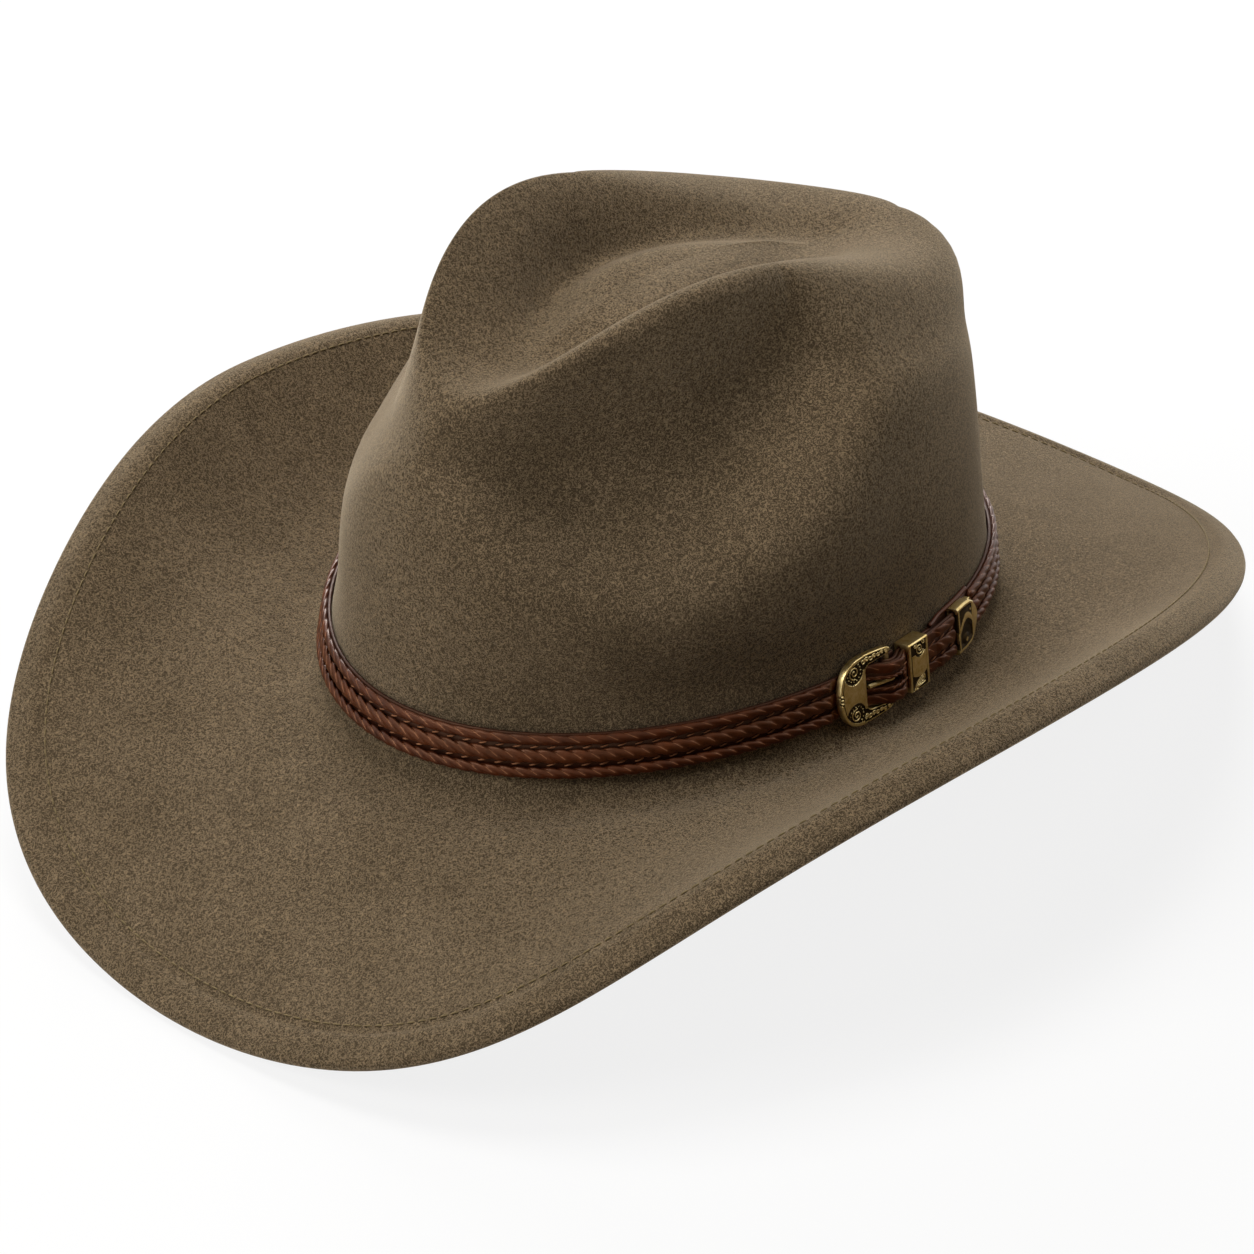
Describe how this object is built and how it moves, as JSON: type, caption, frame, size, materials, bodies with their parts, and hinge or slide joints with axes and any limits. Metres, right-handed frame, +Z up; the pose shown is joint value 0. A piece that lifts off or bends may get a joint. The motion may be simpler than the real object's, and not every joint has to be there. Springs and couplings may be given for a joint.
{
  "type": "cowboy_hat",
  "caption": "Taupe wool felt cowboy hat with a pinch-front creased crown, rolled brim with stitched welt, laced leather band and antique brass buckle set",
  "frame": {"origin": "centre of the bounding box's bottom, on the plane the brim's front and rear rest on", "axes": "+Z up through the crown, -Y the front of the hat, +X the wearer's left, the side with the buckle set"},
  "size_m": [0.302, 0.4078, 0.1751],
  "materials": {
    "felt": "brushed wool felt, taupe, fine curled fibres on the surface",
    "thread": "twisted sewing thread a little lighter than the felt",
    "sweat_leather": "thin smooth sheepskin, satin sheen",
    "tape": "dark ribbed ribbon",
    "satin": "woven satin, soft sheen",
    "band_leather": "dark reddish-brown waxed leather",
    "edge_leather": "rolled leather edge, polished on its crown",
    "lace_leather": "flat leather lace, rubbed lighter on the high places",
    "brass": "antique brass, brushed, dark in the engraving"
  },
  "bodies": {
    "hat": {"felt_body": "felt", "welt_thread": "thread", "sweatband": "sweat_leather", "sweatband_reed": "tape", "sweatband_thread": "thread", "sweatband_bow": "tape", "lining_side": "satin", "lining_tip": "satin"},
    "hatband": {"hatband_strap": "band_leather", "hatband_edge_upper": "edge_leather", "hatband_lacing": "lace_leather", "hatband_edge_lower": "edge_leather", "strap_tip": "brass"},
    "frame": {"buckle_frame": "brass"},
    "prong": {"buckle_prong": "brass"},
    "keeper": {"buckle_keeper": "brass"}
  },
  "joints": [
    {"name": "hatband_lift", "type": "slide", "parent": "hat", "child": "hatband", "axis": [0, 0, 1], "range_m": [0, 0.125]},
    {"name": "frame_hinge", "type": "hinge", "parent": "hatband", "child": "frame", "pos_m": [0.0848, -0.0095, 0.0603], "axis": [-0.1216, 0.0032, 0.9926], "range_deg": [0, 15]},
    {"name": "prong_hinge", "type": "hinge", "parent": "frame", "child": "prong", "pos_m": [0.0848, -0.0095, 0.0603], "axis": [-0.1216, 0.0032, 0.9926], "range_deg": [0, 20]},
    {"name": "keeper_slide", "type": "slide", "parent": "hatband", "child": "keeper", "axis": [-0.0967, 0.9953, -0.0092], "range_m": [0, 0.005]}
  ]
}
